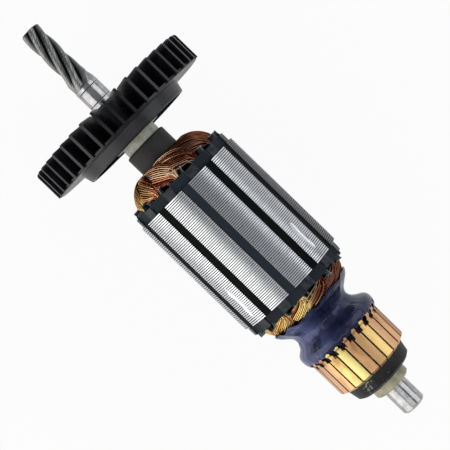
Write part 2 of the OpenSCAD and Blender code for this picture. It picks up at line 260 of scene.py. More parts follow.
# %% Plastics
def plastic(name, dark, light, roughness, grain, grain_depth, coat=0.0, patch=0.25, shine=0.325):
    material, tree, shader, spot = finish_named(name, coat=coat, coat_roughness=0.15)
    patches = speckle(tree, spot, patch, 4.0)
    fine = speckle(tree, spot, grain, 2.0)
    mixed = calc(tree, "ADD", calc(tree, "MULTIPLY", patches, 0.7), calc(tree, "MULTIPLY", fine, 0.3))
    colour = ramp(tree, span(tree, mixed, 0.38, 0.62), [(0.0, dark), (1.0, light)])
    tree.links.new(colour, shader.inputs["Base Color"])
    uneven = span(tree, patches, 0.3, 0.7, roughness - 0.06, roughness + 0.06)
    tree.links.new(uneven, shader.inputs["Roughness"])
    shader.inputs["Specular IOR Level"].default_value = shine
    bumps(tree, shader, fine, grain_depth)
    return material


give(plastic("fan_plastic", (0.006, 0.006, 0.009), (0.014, 0.014, 0.018), 0.32, 5.0, 0.006, shine=0.52),
     "fan")
resin = plastic("tube_resin", (0.38, 0.38, 0.30), (0.72, 0.72, 0.60), 0.42, 4.0, 0.02, coat=0.3)
give(resin, "insulating_tube")
give(plastic("sleeve_plastic", (0.018, 0.019, 0.018), (0.035, 0.036, 0.034), 0.55, 5.0, 0.02),
     "drive_end_sleeve")
give(plastic("end_plate_fibre", (0.008, 0.010, 0.013), (0.044, 0.053, 0.064), 0.34, 0.9, 0.15, patch=0.5),
     "end_plate_drive", "end_plate_commutator")
paper = plastic("slot_paper", (0.018, 0.024, 0.030), (0.085, 0.10, 0.12), 0.36, 1.0, 0.08)
give(paper, *[f"slot_liner_{k:02d}" for k in range(1, slots + 1)])
wedges = plastic("wedge_resin", (0.001, 0.002, 0.002), (0.003, 0.004, 0.005), 0.4, 0.6, 0.06, shine=0.052)
give(wedges, "slot_wedges")
hub = plastic("hub_resin", (0.010, 0.010, 0.010), (0.030, 0.030, 0.028), 0.5, 3.0, 0.02)
give(hub, "commutator_hub")
print("plastics given")

# %% [markdown]
# Some plastics aren't the same all over. The resin tube has yellowed behind the commutator.
# The cut ends of the slot paper are pale, brightened further by a painted glint. The wedge that faces +Z is
# paler and bluish, and all of them are paler where they stand out of the core. Each of these is a patch over
# the finish above, bounded by a station or an angle, where a second material would need its own faces.

# %% Yellowed resin, cut paper and a paler wedge
tree = resin.node_tree
_, _, along = around(tree, millimetres(tree))
patch_over(resin, calc(tree, "LESS_THAN", along, -bar_rear), (0.88, 0.84, 0.64), "MULTIPLY")

core_middle = -(core_front + core_rear) / 2
core_half = (core_rear - core_front) / 2
liner_front, liner_rear = station_range("slot_liner_01")
cut_width = 0.08
tree = paper.node_tree
_, _, along = around(tree, millimetres(tree))
from_middle = calc(tree, "ABSOLUTE", calc(tree, "SUBTRACT", along, core_middle))
# pale cut ends of the paper, lightened further as a painted glint
pale_cut_and_glint = calc(tree, "GREATER_THAN", from_middle, (liner_rear - liner_front) / 2 - cut_width)
patch_over(paper, pale_cut_and_glint, (0.42, 0.48, 0.52))

tree = wedges.node_tree
_, turn, along = around(tree, millimetres(tree))
# the wedge that faces +Z is made paler and bluish
upward_wedge = calc(tree, "LESS_THAN", calc(tree, "ABSOLUTE", turn), 1 / slots)
from_middle = calc(tree, "ABSOLUTE", calc(tree, "SUBTRACT", along, core_middle))
past_core = calc(tree, "MULTIPLY", calc(tree, "GREATER_THAN", from_middle, core_half), 0.75)
patch_over(wedges, calc(tree, "MAXIMUM", upward_wedge, past_core), (0.030, 0.040, 0.048))
print("liners stand out by", round(core_front - liner_front, 2), "mm")

# %% [markdown]
# A knock has chipped the hub of the commutator in one place, with a few more chips elsewhere.
# Chips are fine noise, let through only near a point or inside a larger cloud of noise.

# %% Chips on the hub
knock_at = place(11.0, 27, 117.8) / mm
tree = hub.node_tree
spot = millimetres(tree)
knock = add(tree, "ShaderNodeVectorMath", {0: spot, 1: knock_at}, operation="DISTANCE").outputs["Value"]
chips = calc(tree, "MULTIPLY", span(tree, knock, 2.8, 0.8),
             span(tree, speckle(tree, spot, 1.4, 4.0), 0.55, 0.6), clamp=True)
few = calc(tree, "MULTIPLY", span(tree, speckle(tree, spot, 0.4, 2.0), 0.62, 0.68),
           span(tree, speckle(tree, spot, 2.2, 3.0), 0.5, 0.6), clamp=True)
patch_over(hub, calc(tree, "MAXIMUM", chips, few), (0.42, 0.41, 0.33))
print("hub chipped round", [round(x, 1) for x in knock_at])

# %% [markdown]
# The bars are turned copper, and each has its own tint; the pale yellow of bar 1 is partly a painted
# highlight. Twenty-four materials would do that, but one is enough: the angle gives the number of the bar,
# and the number picks the tint from a ramp with hard steps. A tint holds from its own bar up to the next one
# in the list.

# %% A tint for each bar
copper, tree, shader, spot = finish_named("bar_copper", metallic=1.0)
_, turn, along = around(tree, spot)
in_bars = calc(tree, "MULTIPLY", turn, bars / 2)
bar_number = calc(tree, "FLOOR", calc(tree, "ADD", in_bars, 0.5))
# the pale yellow of bar 1 stands partly for a painted highlight
tints = [(-12, (0.84, 0.47, 0.28)), (-5, (0.62, 0.34, 0.20)), (-4, (0.97, 0.58, 0.31)),
         (-2, (0.98, 0.70, 0.27)), (-1, (0.93, 0.57, 0.26)), (0, (0.95, 0.55, 0.25)),
         (1, (0.99, 0.86, 0.34)), (2, (0.97, 0.74, 0.28)), (3, (0.95, 0.60, 0.30)),
         (4, (0.93, 0.60, 0.36)), (6, (0.93, 0.62, 0.30)), (8, (0.88, 0.48, 0.24))]
steps = [((number + bars / 2 - 0.25) / bars if number > -12 else 0.0, colour) for number, colour in tints]
tint = ramp(tree, calc(tree, "ADD", calc(tree, "DIVIDE", bar_number, bars), 0.5), steps)
tint.node.color_ramp.interpolation = "CONSTANT"
print(len(tints), "tints for", bars, "bars")

# %% [markdown]
# Heat has browned the bars towards the risers, some more than others, and brushes have worn
# their middles cleaner than their edges. Right at the risers the gaps are ragged and black,
# where resin and soot have crept out of them. All this is mixed over the tint in the same tree.

# %% Stains on the bars
own = add(tree, "ShaderNodeTexWhiteNoise", {"W": bar_number}, noise_dimensions="1D").outputs["Value"]
from_middle = calc(tree, "MULTIPLY", calc(tree, "ABSOLUTE", calc(tree, "SUBTRACT", in_bars, bar_number)), 2.0)
stain = speckle(tree, spot, 0.45, 3.0, stretch=(0.45, 1, 1))
near_riser = span(tree, along, -bar_front - 12.0, -bar_front - 4.0)
amount = calc(tree, "ADD", calc(tree, "MULTIPLY", near_riser, 0.55), calc(tree, "MULTIPLY", own, 0.35))
stained = calc(tree, "MULTIPLY", span(tree, stain, 0.42, 0.62), amount, clamp=True)
edges = calc(tree, "MULTIPLY", span(tree, from_middle, 0.55, 0.95), 0.35)
stained = calc(tree, "MAXIMUM", stained, edges)
stained = calc(tree, "MAXIMUM", stained, calc(tree, "MULTIPLY", near_riser, 0.28))
browned = blend(tree, stained, tint, (0.34, 0.13, 0.05))

ragged = calc(tree, "ADD", along, calc(tree, "MULTIPLY", speckle(tree, spot, 1.3, 2.0), 2.4))
at_riser = calc(tree, "GREATER_THAN", ragged, -bar_front - 4.6)
black_gap = calc(tree, "MULTIPLY", at_riser, calc(tree, "GREATER_THAN", from_middle, 0.42))
tree.links.new(blend(tree, black_gap, browned, (0.02, 0.014, 0.014)), shader.inputs["Base Color"])
tree.links.new(span(tree, stained, 0.0, 1.0, 0.4, 0.5), shader.inputs["Roughness"])
bumps(tree, shader, turning_lines(tree, along, 6.0, 3.0), 0.01)
give(copper, *[f"commutator_bar_{k:02d}" for k in range(1, bars + 1)])
print("copper on", bars, "bars")

# %% [markdown]
# ## The winding
# Each coil leaves the outer half of one slot, sweeps as a broad band over the end of the core,
# dives under the bands that were wound later, and goes down the inner half of the slot five
# pitches on. Together the bands make a dome at each end. Wires could follow the rope-like CAD
# solids, but real wires spread out flat, so each band is laid on the dome between two edges.
# A dome is a list of (radius, height over the core), smoothed to a curve through its points.

# %% Domes at both ends
drive_dome = [(15.6, 1.0), (15.7, 3.4), (15.5, 5.0), (14.95, 6.4), (14.05, 7.8), (13.0, 9.1),
              (11.6, 10.3), (9.9, 11.3), (8.1, 11.9)]
rear_dome = [(15.6, 1.0), (15.8, 3.4), (15.5, 4.9), (15.0, 6.2), (14.5, 7.3), (13.7, 8.4),
             (12.3, 9.4), (10.4, 10.0), (8.4, 10.2)]


def smooth_rows(rows, steps):
    """More rows along a Catmull-Rom curve through the given ones."""
    out = []
    for i in range(len(rows) - 1):
        a, b, c, d = rows[max(i - 1, 0)], rows[i], rows[i + 1], rows[min(i + 2, len(rows) - 1)]
        for k in range(steps):
            t = k / steps
            out.append(tuple(0.5 * (2 * q + (r - p) * t + (2 * p - 5 * q + 4 * r - s) * t * t
                                    + (3 * q - p - 3 * r + s) * t ** 3) for p, q, r, s in zip(a, b, c, d)))
    return out + [rows[-1]]


def on_dome(dome, climb, depth):
    """Radius and height of a point, from its climb up the dome (0 to 1) and its depth under it,
    with the direction out of the dome there."""
    fine = smooth_rows(dome, 8)
    at = min(max(climb, 0), 1) * (len(fine) - 1)
    n = min(int(at), len(fine) - 2)
    (r1, h1), (r2, h2) = fine[n], fine[n + 1]
    length = math.hypot(r2 - r1, h2 - h1)
    out_r, out_h = (h2 - h1) / length, -(r2 - r1) / length
    radius, height = r1 + (r2 - r1) * (at - n), h1 + (h2 - h1) * (at - n)
    return radius - out_r * depth, height - out_h * depth, out_r, out_h


print("domes rise", drive_dome[-1][1], "and", rear_dome[-1][1], "mm over the core")

# %% [markdown]
# A row of a band holds the angle and climb of its lower edge, the angle and climb of its upper
# edge, its depth under the dome, and how much its wires are stacked. In a slot they lie three
# deep, and on the dome side by side. No two hand-wound bands are alike, so each is shifted a
# little by noise of its own.

# %% Bands of the coils
band_rows = [
    (3.5, 0.00, -3.5, 0.00, 0.0, 1.0), (4.5, 0.13, -4.5, 0.16, 0.0, 1.0), (8.0, 0.16, -6.5, 0.31, 0.0, 0.7),
    (14, 0.18, -6.0, 0.48, 0.0, 0.3), (23, 0.22, 0, 0.66, 0.05, 0.1), (34, 0.31, 11, 0.82, 0.35, 0.0),
    (47, 0.41, 28, 0.94, 0.7, 0.0), (62, 0.50, 49, 1.0, 1.15, 0.0), (82, 0.55, 76, 1.0, 1.75, 0.0),
    (108, 0.53, 108, 0.90, 2.5, 0.2), (130, 0.40, 132, 0.62, 3.1, 0.6), (144, 0.22, 146, 0.34, 3.3, 1.0),
    (147, 0.12, 153, 0.14, 3.4, 1.0), (147, 0.0, 153, 0.0, 3.4, 1.0)]
angle_unrest, climb_unrest = 1.6, 0.03


def end_station(height, drive_end):
    """Station of a height over the core, at either end."""
    return core_front - height if drive_end else core_rear + height


def band_line(number, drive_end):
    """Middle of a band with the vectors to its edges, and how it bends between them."""
    dome = drive_dome if drive_end else rear_dome
    first = number * slot_pitch
    line = []
    for k, row in enumerate(smooth_rows(band_rows, 4)):
        low_angle, low_climb, high_angle, high_climb, depth, stack = row
        ends = []
        for share in (0.0, 0.5, 1.0):
            angle = low_angle + (high_angle - low_angle) * share
            climb = low_climb + (high_climb - low_climb) * share
            odd = Vector((number * 3.7, k * 0.05, share * 1.2 + (0 if drive_end else 9)))
            angle += angle_unrest * (1 - stack) * noise.noise(odd)
            climb += climb_unrest * (1 - stack) * noise.noise(odd + Vector((0, 0, 40)))
            radius, height, out_r, out_h = on_dome(dome, climb, depth)
            ends.append(place(radius, first + angle, end_station(height, drive_end)))
            if share == 0.5:
                tip = place(radius + out_r, first + angle, end_station(height + out_h, drive_end))
                outward = (tip - ends[-1]).normalized()
        across, bend = (ends[2] - ends[0]) / 2, (ends[2] + ends[0]) / 2 - ends[1]
        line.append((ends[1], across, bend, outward, stack))
    return line


print("rows in a band:", len(band_line(0, True)))

# %% [markdown]
# What repeats by the hundred, the wires here and the sheets later, is made by Geometry Nodes:
# in a tree, numbers and sizes stay open to change. These helpers start a tree with named
# inputs, and run it on an object. The result is kept as a plain mesh without its modifier.


# %% Helpers for trees of Geometry Nodes
def new_tree(name, inputs):
    """A tree with its inputs, from a list of (name, kind of socket, value)."""
    tree = bpy.data.node_groups.new(name, "GeometryNodeTree")
    tree.interface.new_socket("Geometry", in_out="INPUT", socket_type="NodeSocketGeometry")
    for label, kind, value in inputs:
        item = tree.interface.new_socket(label, in_out="INPUT", socket_type=kind)
        if value is not None:
            item.default_value = value
    tree.interface.new_socket("Geometry", in_out="OUTPUT", socket_type="NodeSocketGeometry")
    return tree, add(tree, "NodeGroupInput").outputs


def put_in_scene(name, data):
    piece = bpy.data.objects.new(name, data)
    bpy.context.scene.collection.objects.link(piece)
    return piece


def run_tree(piece, tree, values):
    """Runs a tree on a piece with the named inputs, and keeps the result as a plain mesh."""
    modifier = piece.modifiers.new("make", "NODES")
    modifier.node_group = tree
    for item in tree.interface.items_tree:
        if item.in_out == "INPUT" and item.name in values:
            modifier[item.identifier] = values[item.name]
    bpy.context.view_layer.update()
    graph = bpy.context.evaluated_depsgraph_get()
    made = bpy.data.meshes.new_from_object(piece.evaluated_get(graph))
    name = made.name = piece.name
    bpy.data.objects.remove(piece)
    return put_in_scene(name, made)


def stored(tree, name, kind="FLOAT"):
    """An attribute that the input geometry carries."""
    return add(tree, "GeometryNodeInputNamedAttribute", {"Name": name}, data_type=kind).outputs["Attribute"]


def scaled(tree, vector, by):
    return add(tree, "ShaderNodeVectorMath", {0: vector, 3: by}, operation="SCALE").outputs[0]


print("helpers for trees ready")

# %% [markdown]
# One tree lays the wires of a coil. It gets the middle line of the band, copies it once for
# each wire, moves each copy to its own place between the edges, and gives it a round section.
# Curves with a bevel would look the same, but the script would have to work out every wire.

# %% Start the tree that lays the wires
wire_tree, wire_inputs = new_tree("lay_wires", [
    ("Wires", "NodeSocketInt", 12), ("Wire Radius", "NodeSocketFloat", 0.24 * mm),
    ("Wander", "NodeSocketFloat", 0.14), ("Lift", "NodeSocketFloat", 0.65 * mm),
    ("Layers", "NodeSocketInt", 3), ("Layer Step", "NodeSocketFloat", 0.55 * mm),
    ("Seed", "NodeSocketInt", 1), ("Material", "NodeSocketMaterial", None)])
band = add(wire_tree, "GeometryNodeMeshToCurve", {"Mesh": wire_inputs["Geometry"]})
copies = add(wire_tree, "GeometryNodeDuplicateElements",
             {"Geometry": band.outputs[0], "Amount": wire_inputs["Wires"]}, domain="SPLINE")
index = copies.outputs["Duplicate Index"]
print("inputs of the wire tree:", [socket.name for socket in wire_inputs if socket.name])

# %% [markdown]
# A wire's share runs from -1 at the lower edge of the band to 1 at the upper one. On the dome
# it wanders a little from its share and lifts off its neighbours, and in the slots, where the
# band is stacked, it goes down to its layer. Noise along the wire makes both moves smooth.

# %% Where each wire lies
own_seed = calc(wire_tree, "ADD", calc(wire_tree, "MULTIPLY", index, 7.31),
                calc(wire_tree, "MULTIPLY", wire_inputs["Seed"], 31.7))
run = stored(wire_tree, "run")


def unrest(third):
    """Smooth noise from about -0.5 to 0.5 along each wire."""
    where = add(wire_tree, "ShaderNodeCombineXYZ", {0: run, 1: own_seed, 2: third}).outputs[0]
    sockets = {"Vector": where, "Scale": 1.0, "Detail": 1.0}
    cloud = add(wire_tree, "ShaderNodeTexNoise", sockets, noise_dimensions="3D")
    return calc(wire_tree, "SUBTRACT", cloud.outputs["Fac"], 0.5)


stacked = stored(wire_tree, "stack")
flat = calc(wire_tree, "SUBTRACT", 1.0, stacked)
share = calc(wire_tree, "DIVIDE", calc(wire_tree, "ADD", index, 0.5), wire_inputs["Wires"])
share = calc(wire_tree, "SUBTRACT", calc(wire_tree, "MULTIPLY", share, 2.0), 1.0)
wander = calc(wire_tree, "MULTIPLY", calc(wire_tree, "MULTIPLY", unrest(0.0), wire_inputs["Wander"]), flat)
share = calc(wire_tree, "ADD", share, wander)
layer = calc(wire_tree, "MODULO", index, wire_inputs["Layers"])
layer = calc(wire_tree, "MULTIPLY", layer, wire_inputs["Layer Step"])
lift = calc(wire_tree, "MULTIPLY", calc(wire_tree, "MULTIPLY", unrest(5.0), wire_inputs["Lift"]), flat)
lift = calc(wire_tree, "SUBTRACT", lift, calc(wire_tree, "MULTIPLY", layer, stacked))

offset = scaled(wire_tree, stored(wire_tree, "across", "FLOAT_VECTOR"), share)
bend = stored(wire_tree, "bend", "FLOAT_VECTOR")
for move in (scaled(wire_tree, bend, calc(wire_tree, "MULTIPLY", share, share)),
             scaled(wire_tree, stored(wire_tree, "outward", "FLOAT_VECTOR"), lift)):
    offset = add(wire_tree, "ShaderNodeVectorMath", {0: offset, 1: move}).outputs[0]
print("wire tree so far:", len(wire_tree.nodes), "nodes")

# %% [markdown]
# Each wire gets a random tone before it gets its section, so that the finish can make some
# wires darker. Six sides are enough for a wire of half a millimetre once they are shaded
# smooth. The export drops instances, so the tree ends by making them real.

# %% Give the wires their tone and section
moved = add(wire_tree, "GeometryNodeSetPosition", {"Geometry": copies.outputs["Geometry"], "Offset": offset})
tone = add(wire_tree, "FunctionNodeRandomValue", {"ID": index, "Seed": wire_inputs["Seed"]},
           data_type="FLOAT")
toned = add(wire_tree, "GeometryNodeStoreNamedAttribute",
            {"Geometry": moved.outputs[0], "Name": "wire_tone", "Value": tone.outputs[1]},
            data_type="FLOAT", domain="POINT")
section = add(wire_tree, "GeometryNodeCurvePrimitiveCircle",
              {"Resolution": 6, "Radius": wire_inputs["Wire Radius"]})
tubes = add(wire_tree, "GeometryNodeCurveToMesh",
            {"Curve": toned.outputs[0], "Profile Curve": section.outputs[0], "Fill Caps": True})
soft = add(wire_tree, "GeometryNodeSetShadeSmooth", {"Geometry": tubes.outputs[0]})
real = add(wire_tree, "GeometryNodeRealizeInstances", {"Geometry": soft.outputs[0]})
painted = add(wire_tree, "GeometryNodeSetMaterial",
              {"Geometry": real.outputs[0], "Material": wire_inputs["Material"]})
add(wire_tree, "NodeGroupOutput", {"Geometry": painted.outputs[0]})
print("wire tree:", len(wire_tree.nodes), "nodes")

# %% [markdown]
# The wire is copper under clear enamel, and some wires are darker than their neighbours. On the +Y side the
# copper is painted paler and yellower, a painted highlight where the key light falls, wider so at the
# commutator end. On the -Y side it is painted dark red, a painted shade. Both areas are bounded by the angle
# round the shaft.

# %% Enamelled copper
wire, tree, shader, spot = finish_named("enamelled_copper", metallic=1.0, coat=0.06, coat_roughness=0.12)
tone = add(tree, "ShaderNodeAttribute", attribute_name="wire_tone").outputs["Fac"]
cloud = speckle(tree, spot, 0.12, 3.0)
mixed = calc(tree, "ADD", calc(tree, "MULTIPLY", tone, 0.75), calc(tree, "MULTIPLY", cloud, 0.25))
amber = ramp(tree, mixed, [(0.22, (0.16, 0.035, 0.015)), (0.42, (0.78, 0.25, 0.10)),
                           (0.72, (1.0, 0.74, 0.48))])
# a lit copy of the copper, used as a painted highlight on the +Y side
lit_wire_colour = ramp(tree, mixed, [(0.23, (0.24, 0.085, 0.022)), (0.38, (1.0, 0.60, 0.20)),
                          (0.68, (1.0, 0.79, 0.32))])
_, turn, along = around(tree, spot)
lit_half_width = span(tree, along, -core_rear, -core_front, 0.5, 0.24)
from_lit_side = calc(tree, "ABSOLUTE", calc(tree, "SUBTRACT", turn, 0.4))
painted_wire_highlight = span(tree, calc(tree, "SUBTRACT", from_lit_side, lit_half_width), 0.0, -0.12)
# painted shade: the wires are darker and redder on the -Y side
painted_wire_shade = calc(tree, "MULTIPLY", span(tree, turn, -0.02, -0.2), 0.9, clamp=True)
colour = blend(tree, painted_wire_shade, blend(tree, painted_wire_highlight, amber, lit_wire_colour), (0.10, 0.018, 0.012))
tree.links.new(colour, shader.inputs["Base Color"])
shader.inputs["Roughness"].default_value = 0.24
shader.inputs["Specular Tint"].default_value = (1.0, 0.6, 0.42, 1)
print("enamelled copper:", len(tree.nodes), "nodes")

# %% [markdown]
# The line that the tree copies is one closed turn of the coil: over the drive end, down the
# far slot, back over the commutator end, and up the first slot. As attributes it carries the
# vectors to the band's edges, and how far along each point lies in the noise of the wires.
# Each coil takes the place of its CAD solid.

# %% Wind the twelve coils
run_step = 0.09
for k in range(slots):
    one_turn = band_line(k, True) + band_line(k, False)[::-1]
    count = len(one_turn)
    data = bpy.data.meshes.new("line")
    data.from_pydata([row[0] for row in one_turn], [(n, (n + 1) % count) for n in range(count)], [])
    for column, name in ((1, "across"), (2, "bend"), (3, "outward")):
        vectors = [x for row in one_turn for x in row[column]]
        data.attributes.new(name, "FLOAT_VECTOR", "POINT").data.foreach_set("vector", vectors)
    stacks, runs = [row[4] for row in one_turn], [n * run_step for n in range(count)]
    for name, values in (("stack", stacks), ("run", runs)):
        data.attributes.new(name, "FLOAT", "POINT").data.foreach_set("value", values)
    piece = put_in_scene(f"coil_wires_{k + 1:02d}", data)
    piece = run_tree(piece, wire_tree, {"Seed": k + 1, "Material": wire})
    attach(piece, "root")
    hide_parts(f"coil_{k + 1:02d}")
print("points in a turn:", count, "faces in the last coil:", len(piece.data.polygons))

# %% [markdown]
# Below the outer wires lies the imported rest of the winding. It shows only as dark copper
# between them, so one ring at each end stands for it. The ring, and later the epoxy, is a
# closed shell through rings of points, which gives full control of its profile.


# %% Shells made of rings
def shell_piece(name, shell, material, smooth):
    """A piece from mesh data, with its faces turned outwards."""
    bmesh.ops.recalc_face_normals(shell, faces=shell.faces)
    for face in shell.faces:
        face.smooth = smooth
    data = bpy.data.meshes.new(name)
    shell.to_mesh(data)
    shell.free()
    data.materials.append(material)
    return put_in_scene(name, data)


def ring_shell(name, rows, material):
    """A smooth shell through rings of points, with the last ring joined to the first."""
    shell = bmesh.new()
    rings = [[shell.verts.new(point) for point in row] for row in rows]
    for n, ring in enumerate(rings):
        other = rings[(n + 1) % len(rings)]
        for step in range(len(ring)):
            following = (step + 1) % len(ring)
            shell.faces.new((ring[step], ring[following], other[following], other[step]))
    return shell_piece(name, shell, material, smooth=True)


print("helpers for shells ready")

# %% [markdown]
# The rings follow the domes from below. Their copper is dark and dull, because hardly any
# light gets between the outer wires, and noise in place of single strands is enough there.

# %% Pack the winding under the outer wires
packed_depth = 2.2
bundle, tree, shader, spot = finish_named("bundle_copper", metallic=0.6)
strands = speckle(tree, spot, 1.2, 2.0)
dull = ramp(tree, strands, [(0.35, (0.02, 0.010, 0.008)), (0.7, (0.07, 0.028, 0.016))])
tree.links.new(dull, shader.inputs["Base Color"])
shader.inputs["Roughness"].default_value = 0.5
bumps(tree, shader, strands, 0.1)


def packed_ring(name, dome, drive_end, bore):
    profile = [on_dome(dome, c / 20, packed_depth)[:2] for c in range(3, 21)]
    profile += [(bore, profile[-1][1]), (bore, profile[0][1])]
    rows = [[place(radius, d, end_station(height, drive_end)) for d in range(0, 360, 5)]
            for radius, height in profile]
    piece = ring_shell(name, rows, bundle)
    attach(piece, "root")
    print(name, "faces", len(piece.data.polygons))


packed_ring("packed_winding_drive", drive_dome, True, widest("drive_end_sleeve") + 0.1)
packed_ring("packed_winding_rear", rear_dome, False, widest("insulating_tube") + 1.5)

# %% [markdown]
# ## Cuffs of the slot paper
# The slot paper stands out of the slots in cuffs. It is a dark, slightly glossy fibre paper with pale cut
# edges, lightened further as a painted glint. The rim is marked on the mesh as an attribute, because its
# height changes from cuff to cuff and no coordinate would find it.

# %% Finish of the cuffs
cuff_paper, tree, shader, spot = finish_named("cuff_paper")
fibres = speckle(tree, spot, 1.2, 3.0)
face_colour = ramp(tree, fibres, [(0.35, (0.02, 0.028, 0.036)), (0.65, (0.085, 0.11, 0.13))])
rim = add(tree, "ShaderNodeAttribute", attribute_name="rim").outputs["Fac"]
# pale rim: the cut edge of the paper, lightened further as a painted glint
tree.links.new(blend(tree, rim, face_colour, (0.50, 0.58, 0.64)), shader.inputs["Base Color"])
tree.links.new(span(tree, fibres, 0.3, 0.7, 0.28, 0.42), shader.inputs["Roughness"])
bumps(tree, shader, fibres, 0.06)
print("finish of the cuffs:", len(tree.nodes), "nodes")

# %% [markdown]
# A cuff is a U of bent paper round the wires. They have spread its sides outwards towards the
# rim, and pushed the side that they lean on down. A flat sheet could be bent by modifiers, but
# it is simpler to work out each point's height and side from its place in the U.

# %% Points of a cuff
tooth_width = 3.3
paper_thickness = 0.22
cuff_foot, cuff_back_top, cuff_front_top = 3.0, 5.0, 4.05
cuff_gap, cuff_spread, rim_unrest = 0.34, 0.55, 0.5
cuff_radii = [17.3, 16.6, 15.8, 15.0, 14.0, 13.0, 12.2, 11.6]
around_cuff = 2 * len(cuff_radii)


def slot_half(radius):
    """Half the width of a slot between two teeth."""
    half = math.radians(slot_pitch / 2)
    return radius * math.tan(half) - tooth_width / 2 / math.cos(half)


def cuff_point(number, drive_end, n, level, outer_face):
    """A point of a cuff: n counts round its U shape, level goes up from the liner to the rim."""
    back = n < len(cuff_radii)
    radius = cuff_radii[n] if back else cuff_radii[around_cuff - 1 - n]
    odd = noise.noise(Vector((number * 5.3, n * 0.22, 3 if drive_end else 17)))
    top = (cuff_back_top if back else cuff_front_top) + rim_unrest * odd
    height = cuff_foot + (top - cuff_foot) * level
    spread = (cuff_spread + 0.3 * odd) * level ** 2
    side = slot_half(radius) - cuff_gap + spread + (paper_thickness if outer_face else 0)
    angle = number * slot_pitch + math.degrees(math.atan2(-side if back else side, radius))
    return place(math.hypot(radius, side), angle, end_station(height, drive_end))


print("a slot is", round(2 * slot_half(cuff_radii[0]), 2), "mm wide at the top of a cuff")

# %% [markdown]
# Each column of points goes up the inner face of the paper and down the outer one. Joining
# the columns closes the sheet with its real thickness, where a plane would have none.

# %% Bend the cuffs
levels = 5
cuffs = bmesh.new()
rim_layer = cuffs.verts.layers.float.new("rim")


def bend_cuff(number, drive_end):
    columns = []
    for n in range(around_cuff):
        up = [cuff_point(number, drive_end, n, j / levels, False) for j in range(levels + 1)]
        down = [cuff_point(number, drive_end, n, j / levels, True) for j in range(levels, -1, -1)]
        column = [cuffs.verts.new(point) for point in up + down]
        for vertex in column[levels:levels + 2]:
            vertex[rim_layer] = 1.0
        columns.append(column)
    for one, other in zip(columns, columns[1:]):
        for j in range(len(one)):
            following = (j + 1) % len(one)
            cuffs.faces.new((one[j], one[following], other[following], other[j]))
    cuffs.faces.new(columns[0])
    cuffs.faces.new(columns[-1][::-1])


for number in range(slots):
    bend_cuff(number, True)
    bend_cuff(number, False)
piece = shell_piece("slot_paper_cuffs", cuffs, cuff_paper, smooth=False)
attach(piece, "root")
print("cuffs:", 2 * slots, "faces", len(piece.data.polygons))

# %% [markdown]
# ## The core
# Sixty-six punched sheets make up the core. Lines painted on a solid would look flat, so the
# sheets are real: one outline, filled, made thick and stacked along the shaft. The outline
# goes tooth by tooth, with the slot after each, and can be drawn in by an inset. A tooth that
# has a balance cut gets more points, so that the cut can be pressed into it later.

# %% Outline of one sheet
slot_top, slot_knee, slot_floor, mouth = 17.55, 10.4, 9.9, 2.74
balance_cuts = [(-45, 67, 77.5), (45, 67, 79)]  # angle, first station, last station
cut_half_width, point_step = 1.3, 0.2


def sheet_outline(inset):
    """Points round a sheet as (up, across) in millimetres."""
    points = []
    top = core_radius - inset
    for k in range(slots):
        slot = [(top, -mouth / 2 - inset), (slot_top + 0.5, -mouth / 2 - inset),
                (slot_top, -slot_half(slot_top) - inset),
                (slot_knee, -slot_half(slot_knee) - inset), (slot_floor, -0.5)]
        slot += [(r, -s) for r, s in reversed(slot)]
        tooth_angle = (k - 0.5) * slot_pitch
        middle = math.radians(tooth_angle)
        half = math.radians(slot_pitch / 2) - math.asin((mouth / 2 + inset) / top)
        cut = any(round(tooth_angle) % 360 == at % 360 for at, begin, end in balance_cuts)
        steps = {half * x / 5 for x in range(-4, 5)}
        if cut:
            reach = math.ceil(cut_half_width / point_step)
            steps |= {x * point_step / top for x in range(-reach, reach + 1)}
        points += [(top * math.cos(middle + s), top * math.sin(middle + s)) for s in sorted(steps)]
        a = math.radians(k * slot_pitch)
        points += [(r * math.cos(a) - s * math.sin(a), r * math.sin(a) + s * math.cos(a)) for r, s in slot]
    return points


def outline_curve(name, inset):
    """The outline of a sheet and its bore, as a flat curve."""
    data = bpy.data.curves.new(name, "CURVE")
    data.dimensions = "2D"
    bore = widest("insulating_tube")
    hole = [(bore * math.cos(math.radians(x)), bore * math.sin(math.radians(x))) for x in range(0, 360, 8)]
    for points in (sheet_outline(inset), hole):
        spline = data.splines.new("POLY")
        spline.points.add(len(points) - 1)
        spline.points.foreach_set("co", [c for x, y in points for c in (x * mm, y * mm, 0, 1)])
        spline.use_cyclic_u = True
    return put_in_scene(name, data)


print("points round a sheet:", len(sheet_outline(0)))

# %% [markdown]
# A second tree stacks the sheets. It fills the outline, makes it thick, and sets a copy on
# each point of a line. Punched sheets differ a little, so each copy's size is off by a small
# random error.

# %% Tree that stacks the sheets
sheets = 66
sheet_pitch = (core_rear - core_front) / sheets
stack_tree, stack_inputs = new_tree("stack_sheets", [
    ("Sheets", "NodeSocketInt", sheets), ("Pitch", "NodeSocketFloat", sheet_pitch * mm),
    ("Thickness", "NodeSocketFloat", 0.4 * mm), ("Start", "NodeSocketFloat", 0.0),
    ("Size Error", "NodeSocketFloat", 0.0), ("Seed", "NodeSocketInt", 3),
    ("Material", "NodeSocketMaterial", None)])
face = add(stack_tree, "GeometryNodeFillCurve", {"Curve": stack_inputs["Geometry"]})
thick = add(stack_tree, "GeometryNodeExtrudeMesh",
            {"Mesh": face.outputs[0], "Offset Scale": stack_inputs["Thickness"], "Individual": False},
            mode="FACES")
back = add(stack_tree, "GeometryNodeFlipFaces", {"Mesh": face.outputs[0]})
both = add(stack_tree, "GeometryNodeJoinGeometry")
for part in (thick.outputs["Mesh"], back.outputs[0]):
    stack_tree.links.new(part, both.inputs[0])
closed = add(stack_tree, "GeometryNodeMergeByDistance", {"Geometry": both.outputs[0], "Distance": 0.01 * mm})
start = add(stack_tree, "ShaderNodeCombineXYZ", {2: stack_inputs["Start"]}).outputs[0]
